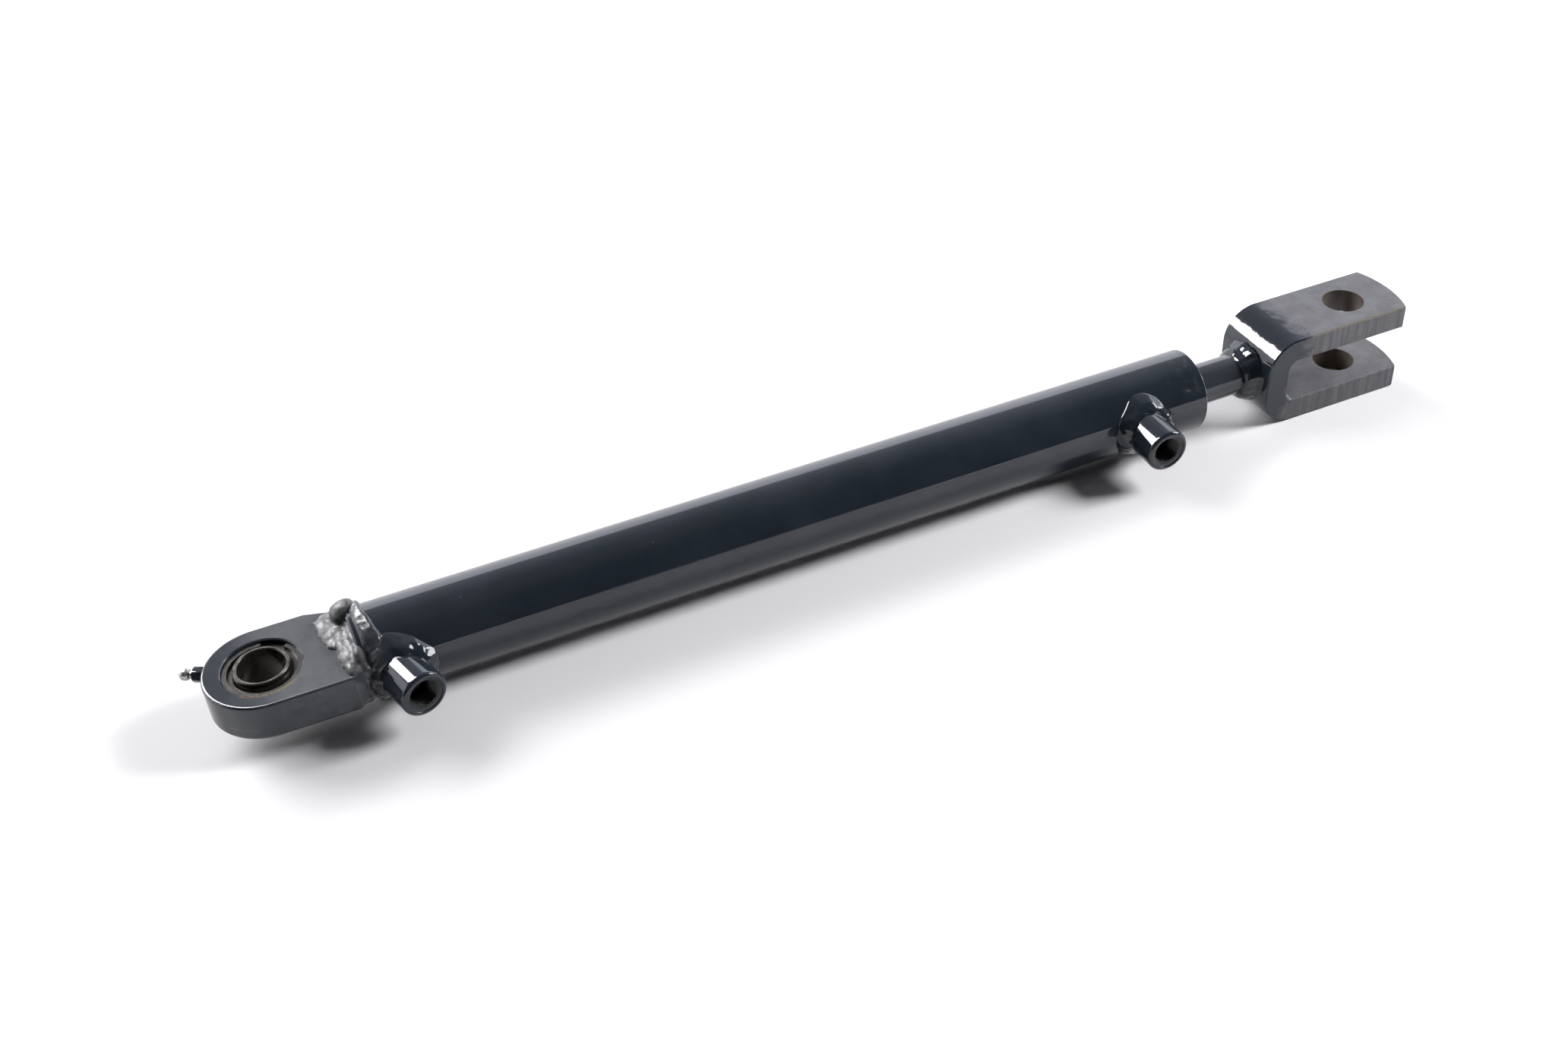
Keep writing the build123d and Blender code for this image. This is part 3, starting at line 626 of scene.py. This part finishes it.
def lathe(bm, outline, place, segments=96, wobble=None):
    """Turns a closed outline of (radius, height) about a frame's Z."""
    rows = []
    for step in range(segments):
        angle = 2 * math.pi * step / segments
        row = []
        for index, (radius, height) in enumerate(outline):
            if wobble is not None:
                radius, height = wobble(angle, index, radius, height)
            row.append(bm.verts.new(place @ around(radius, angle, height)))
        rows.append(row)
    closed_grid(bm, rows)


def arc(center, radius, start_deg, end_deg, steps):
    """Points of an arc in (radius, height) coordinates."""
    points = []
    for step in range(steps + 1):
        angle = math.radians(start_deg + (end_deg - start_deg) * step / steps)
        x = center[0] + radius * math.cos(angle)
        y = center[1] + radius * math.sin(angle)
        points.append((x, y))
    return points


def bumpy(point, size, seed=0.0):
    """Smooth noise from -1 to 1 at a point."""
    return noise.noise(Vector(point) / size + Vector((seed, seed * 1.7, seed * 0.3)))


def clamp(value):
    return min(max(value, 0.0), 1.0)


def blobs(bm, balls):
    """Ellipsoids: (centre, radii, turn about Z in degrees)."""
    for centre, radii, turn in balls:
        place = Matrix.Translation(Vector(centre)) @ Matrix.Rotation(math.radians(turn), 4, "Z")
        place = place @ Matrix.Diagonal((*radii, 1.0))
        bmesh.ops.create_icosphere(bm, subdivisions=3, radius=1.0, matrix=place)


FINE_LUMP = 0.22
FINE_LUMP_SIZE = 0.4


def melt(bm, voxel, rounds, rough, size, seed):
    """Fuses overlapping solids into one skin, softens its creases and adds the lumps of weld."""
    mesh = bpy.data.meshes.new("melt")
    bm.to_mesh(mesh)
    bm.free()
    obj = bpy.data.objects.new("melt", mesh)
    scene.collection.objects.link(obj)
    remesh = obj.modifiers.new("fuse", "REMESH")
    remesh.mode = "VOXEL"
    remesh.voxel_size = voxel
    soften = obj.modifiers.new("soften", "SMOOTH")
    soften.factor = 0.5
    soften.iterations = rounds
    graph = bpy.context.evaluated_depsgraph_get()
    fused = bpy.data.meshes.new_from_object(obj.evaluated_get(graph))
    bpy.data.objects.remove(obj)
    result = bmesh.new()
    result.from_mesh(fused)
    bpy.data.meshes.remove(fused)
    result.normal_update()
    moves = []
    for v in result.verts:
        lump = bumpy(v.co, size, seed)
        lump += FINE_LUMP * bumpy(v.co, size * FINE_LUMP_SIZE, seed + 5.0)
        moves.append(v.normal * rough * lump)
    for v, move in zip(result.verts, moves):
        v.co += move
    return result


# ------------------------------------------------------------ end weld, eye

AXIS_X = frame_from((0, 0, 0), (1, 0, 0), (0, 1, 0))
BAND_START = 49.2
BAND_END = 61.0
BAND_INNER_R = 21.0
BAND_MOST_R = 27.95
BAND_CROWN = [
    (22.6, BAND_START), (24.2, 50.2), (25.4, 51.6), (26.2, 53.2), (26.8, 54.8), (27.3, 56.4),
    (27.5, 57.8), (27.2, 59.0), (26.4, 60.0), (25.3, 60.7), (24.4, BAND_END),
]
BAND_NARROWING = 4.2
PORT_SIDE_DEG = 124.0
PORT_SIDE_SPREAD_DEG = 22.0


def end_weld_band():
    """The thick bead round the joint of barrel and cap, widest towards the port."""
    def wobble(angle, index, radius, height):
        if index in (0, len(outline) - 1):
            return radius, height
        point = around(radius, angle, height)
        lump = 0.75 * bumpy(point, 6.5, 3.0)
        lump += 0.35 * bumpy(point, 3.2, 8.0) + 0.12 * bumpy(point, 1.4, 2.0)
        from_port = (math.degrees(angle) - PORT_SIDE_DEG) / PORT_SIDE_SPREAD_DEG
        narrow = BAND_NARROWING * (1.0 - math.exp(-from_port**2))
        narrow += 0.9 * bumpy(around(radius, angle), 7.0, 14.0)
        share = (height - BAND_START) / (BAND_END - BAND_START)
        lift = clamp((radius - 24.0) / 1.5)
        return min(radius + lump * lift, BAND_MOST_R), height - narrow * share

    bm = bmesh.new()
    outline = [(BAND_INNER_R, BAND_START)] + BAND_CROWN + [(BAND_INNER_R, BAND_END)]
    lathe(bm, outline, AXIS_X, 240, wobble)
    add_piece("end_weld_band", bm, "painted_weld", "base_weld", 80)


# Single lumps of the weld round the shank: centre, radii, turn
EYE_WELD_LUMPS = [
    ((47.6, 13.6, 17.8), (7.7, 7.7, 7.8), 0),
    ((33.5, 20.4, 11.2), (5.0, 1.7, 1.2), -25),
    ((38.0, 18.6, 11.2), (5.0, 3.2, 2.2), -20),
    ((48.6, -24.0, 7.5), (3.6, 3.8, 5.4), 0),
    ((49.4, 21.5, 6.0), (4.0, 4.2, 7.4), 0),
    ((44.5, 24.4, 2.0), (5.6, 2.0, 8.4), -14),
    ((49.0, -22.8, -8.4), (7.0, 3.6, 4.0), -14),
    ((49.5, 20.0, -9.5), (4.0, 4.4, 6.2), 0),
    ((47.6, -26.2, -1.0), (3.0, 1.5, 8.4), 0),
]
# Rows of runs over the top of the shank: x, height, radius across, radius along, reach
EYE_WELD_TOP_ROWS = [
    (37.8, 3.5, 6.4, 6.2, 25.0),
    (42.8, 5.2, 5.8, 6.4, 22.0),
    (47.2, 7.6, 3.6, 6.0, 19.0),
]
# Rows underneath: x, height, radius across
EYE_WELD_UNDER_ROWS = [(41.5, 4.2, 6.0), (46.6, 7.4, 4.4)]
# The core that the lumps lie on, from the shank up to the bead
EYE_WELD_CORE = [(0.01, 46.5), (17.5, 46.5), (22.8, 49.6), (23.4, 51.5), (0.01, 51.5)]
WELD_SEAT_Z = 11.3


def eye_weld_mass():
    """The heavy hand-laid weld from the eye's shank up to the bead, above and below."""
    balls = list(EYE_WELD_LUMPS)
    for row, (x, height, across, along, reach) in enumerate(EYE_WELD_TOP_ROWS):
        for step in range(10):
            y = 18.0 - 4.6 * step
            if abs(y) > reach:
                continue
            lean = 4.4 * clamp((2.0 - y) / 8.0) if row == 0 else 0.0
            jitter = bumpy((x, y, row * 9.0), 7.0, 6.0)
            swell = 1.0 + 0.24 * bumpy((x, y, row * 9.0), 8.0, 17.0)
            centre = (x + lean + 1.4 * jitter, y, WELD_SEAT_Z)
            balls.append((centre, (across - lean * 0.6, along, height * swell), 0))
    for x, height, across in EYE_WELD_UNDER_ROWS:
        for step in range(8):
            y = 17.0 - 4.9 * step
            swell = 1.0 + 0.25 * bumpy((x, y, -8.0), 5.0, 23.0)
            balls.append(((x, y, -WELD_SEAT_Z), (across, 4.6, height * swell), 0))
    bm = bmesh.new()
    blobs(bm, balls)
    lathe(bm, EYE_WELD_CORE, AXIS_X, 48)
    bm = melt(bm, voxel=0.55, rounds=18, rough=0.95, size=6.0, seed=2.0)
    add_piece("eye_weld_mass", bm, "painted_weld", "eye_weld", 180)


# -------------------------------------------------------------- port bosses

PORTS = {
    "base": {"x": 58.5, "lean": 16.0, "seed": 4.0, "width": 6.2, "height": 6.0},
    "rod": {"x": 516.0, "lean": 0.0, "seed": 21.0, "width": 6.6, "height": 5.4},
}
BOSS_R = 13.0
BOSS_FOOT = 20.9
BOSS_LIP_R = 2.1
BOSS_OUTLINE = (
    [(4.0, BOSS_FOOT), (BOSS_R, BOSS_FOOT), (BOSS_R, 30.0), (BOSS_R, 46.6)]
    + arc((BOSS_R - BOSS_LIP_R, 47.4), BOSS_LIP_R, 5, 88, 9)
    + [(10.55, 49.42), (10.3, 49.1), (10.25, 48.75), (10.0, 48.62), (9.1, 48.6)]
    + [(8.9, 48.5), (8.9, 44.0)]
)
THREAD_MINOR_R = 7.475
THREAD_DEPTH = 0.86
THREAD_PITCH = 1.337
THREAD_STEPS = 6
THREAD_TURNS = 9
THREAD_TOP = 48.1
THREAD_BOTTOM = THREAD_TOP - THREAD_PITCH * THREAD_TURNS
THREAD_MOUTH = [(8.95, 48.5), (8.5, 48.35)]
# The drilling below the thread, and round the sleeve's outside back to its mouth
THREAD_REST = [
    (THREAD_MINOR_R, THREAD_BOTTOM - 0.6), (4.1, THREAD_BOTTOM - 2.4),
    (4.1, 21.4), (12.6, 21.4), (12.6, 44.0), (8.95, 44.0),
]
FILLET_TUCK = 0.4
FILLET_STEPS = 14
FILLET_SEGMENTS = 160


def port_place(port):
    lean = math.radians(port["lean"])
    return frame_from((port["x"], 0, 0), (math.sin(lean), -math.cos(lean), 0), (0, 0, 1))


def port_boss(name, port):
    """A round boss with a rolled lip, a spot face and a cut thread."""
    bm = bmesh.new()
    lathe(bm, BOSS_OUTLINE, port_place(port))
    add_piece(name + "_port_boss_body", bm, "gloss_paint", name + "_port_boss", 48)

    count = THREAD_STEPS * THREAD_TURNS
    drop = THREAD_BOTTOM - THREAD_TOP
    thread = [(THREAD_MINOR_R, THREAD_TOP + drop * step / count) for step in range(count + 1)]
    first = len(THREAD_MOUTH)

    def cut(angle, index, radius, height):
        if first <= index <= first + count:
            turn = (height / THREAD_PITCH + angle / (2 * math.pi)) % 1.0
            tooth = min(abs(turn - 0.5) * 2.6, 1.0)
            radius += THREAD_DEPTH * tooth
        return radius, height

    bm = bmesh.new()
    lathe(bm, THREAD_MOUTH + thread + THREAD_REST, port_place(port), wobble=cut)
    # The thread is near black, as painted shade inside the deep port
    piece = name + "_port_thread"
    add_piece(piece, bm, "gloss_paint", name + "_port_boss", 48, look="port_thread")


def barrel_height(port, radius, angle):
    """How far out along a port's axis the barrel is, at a radius and angle about that axis."""
    place = port_place(port)
    flat = place @ around(radius, angle)
    way = place.to_3x3() @ Vector((0, 0, 1))
    a = way.y**2 + way.z**2
    b = flat.y * way.y + flat.z * way.z
    c = flat.y**2 + flat.z**2 - BARREL_R**2
    return (-b + math.sqrt(max(b * b - a * c, 0.0))) / a


def port_weld(name, port):
    """The smooth, heaped fillet of weld round a boss, saddled on the barrel."""
    bm = bmesh.new()
    place = port_place(port)
    seed = port["seed"]
    rows = []
    for index in range(FILLET_SEGMENTS):
        angle = 2 * math.pi * index / FILLET_SEGMENTS
        spot = around(14.0, angle)
        width = port["width"] + 1.8 * bumpy(spot, 9.0, seed)
        height = port["height"] + 2.2 * bumpy(spot, 7.0, seed + 3.0)
        inner = barrel_height(port, BOSS_R - FILLET_TUCK, angle)
        outer = barrel_height(port, BOSS_R + width, angle)
        start = Vector((BOSS_R - FILLET_TUCK, inner + height, 0.0))
        end = Vector((BOSS_R + width, outer - 0.25, 0.0))
        knee = Vector((BOSS_R + 0.62 * width, inner + 0.80 * height, 0.0))
        section = []
        for step in range(FILLET_STEPS + 1):
            t = step / FILLET_STEPS
            point = start * (1 - t) ** 2 + knee * 2 * t * (1 - t) + end * t * t
            swell = math.sin(math.pi * t)
            spot = around(point.x, angle, point.y)
            lump = 0.8 * bumpy(spot, 3.6, seed + 6.0) + 0.7 * bumpy(spot, 7.0, seed + 9.0)
            section.append((point.x + 0.5 * lump * swell, point.y + 0.7 * lump * swell))
        section.append((BOSS_R + width - 0.3, outer - 1.6))
        section.append((BOSS_R - FILLET_TUCK, inner - 1.2))
        rows.append([bm.verts.new(place @ around(r, angle, h)) for r, h in section])
    closed_grid(bm, rows)
    add_piece(name + "_port_weld_bead", bm, "painted_weld", name + "_port_weld", 60)


# ------------------------------------------------------------- clevis weld

COLLAR_INNER_R = 11.9
COLLAR_END = 604.2
COLLAR_OUTLINE = [
    (COLLAR_INNER_R, 592.6), (12.45, 593.2), (13.6, 593.5), (14.8, 594.3), (15.7, 595.4),
    (16.4, 596.8), (16.9, 598.2), (17.3, 599.6), (17.8, 601.0), (18.5, 602.4), (19.2, 603.6),
    (18.6, COLLAR_END), (COLLAR_INNER_R, COLLAR_END),
]
GROOVE_X = 598.6
GROOVE_WIDTH = 1.3
UPPER_SIDE = math.radians(70)


def clevis_weld():
    """The collar of weld on the clevis: a heavy bead below and a lighter double run above."""
    def wobble(angle, index, radius, height):
        if radius == COLLAR_INNER_R:
            return radius, height
        point = around(radius, angle, height)
        grow = min((radius - 12.2) / 3.0, 1.0)
        lump = 1.2 * bumpy(point, 7.0, 31.0) + 0.5 * bumpy(point, 3.6, 36.0)
        share = (604.0 - height) / 11.0
        above = max(0.0, math.cos(angle - UPPER_SIDE))
        groove = -1.6 * above * math.exp(-((height - GROOVE_X) / GROOVE_WIDTH) ** 2)
        start = 1.6 * bumpy(around(9, angle), 7.0, 40.0)
        return radius + grow * (lump + groove - 0.8 * above), height + share * start

    bm = bmesh.new()
    lathe(bm, COLLAR_OUTLINE, AXIS_X, 180, wobble)
    add_piece("clevis_weld_collar", bm, "painted_weld", "clevis_weld", 70, body="rod")


# ----------------------------------------------------------- grease nipple

NIPPLE_ANGLE = math.radians(150.0)
NIPPLE_OUT = around(1.0, NIPPLE_ANGLE)
NIPPLE_FOOT = NIPPLE_OUT * EYE_R + Vector((0, 0, 4.0))
NIPPLE_PLACE = frame_from(NIPPLE_FOOT, NIPPLE_OUT, (0, 0, 1))
NIPPLE_HEAD = (
    [(1.5, 4.0), (2.1, 4.0), (2.1, 7.6), (2.0, 9.2)]
    + arc((0.0, 11.9), 3.5, -50, 68, 14)
    + [(1.15, 15.27), (0.95, 15.2), (0.95, 13.5), (1.5, 13.0)]
)
HEX_HALF_FLATS = 3.8
HEX_THREAD_R = 3.9
HEX_OUTLINE = [
    (2.0, -5.4), (HEX_THREAD_R, -5.4), (HEX_THREAD_R, 1.4), (4.0, 1.6), (4.4, 2.1), (4.4, 6.6),
    (3.95, 7.1), (2.0, 7.1),
]
SIXTH = math.pi / 3


def nipple():
    """The head with its ball end and mouth, and the painted hexagon on its thread."""
    bm = bmesh.new()
    lathe(bm, NIPPLE_HEAD, NIPPLE_PLACE, 48)
    add_piece("nipple_head", bm, "plated_steel", "grease_nipple", 40)

    def flatten(angle, index, radius, height):
        if radius > HEX_THREAD_R:
            turn = (angle + SIXTH / 2) % SIXTH - SIXTH / 2
            radius = min(radius, HEX_HALF_FLATS / math.cos(turn))
        return radius, height

    bm = bmesh.new()
    lathe(bm, HEX_OUTLINE, NIPPLE_PLACE, wobble=flatten)
    add_piece("nipple_hexagon", bm, "gloss_paint", "grease_nipple", 30)


end_weld_band()
eye_weld_mass()
for port_name, port in PORTS.items():
    port_boss(port_name, port)
    port_weld(port_name, port)
clevis_weld()
nipple()
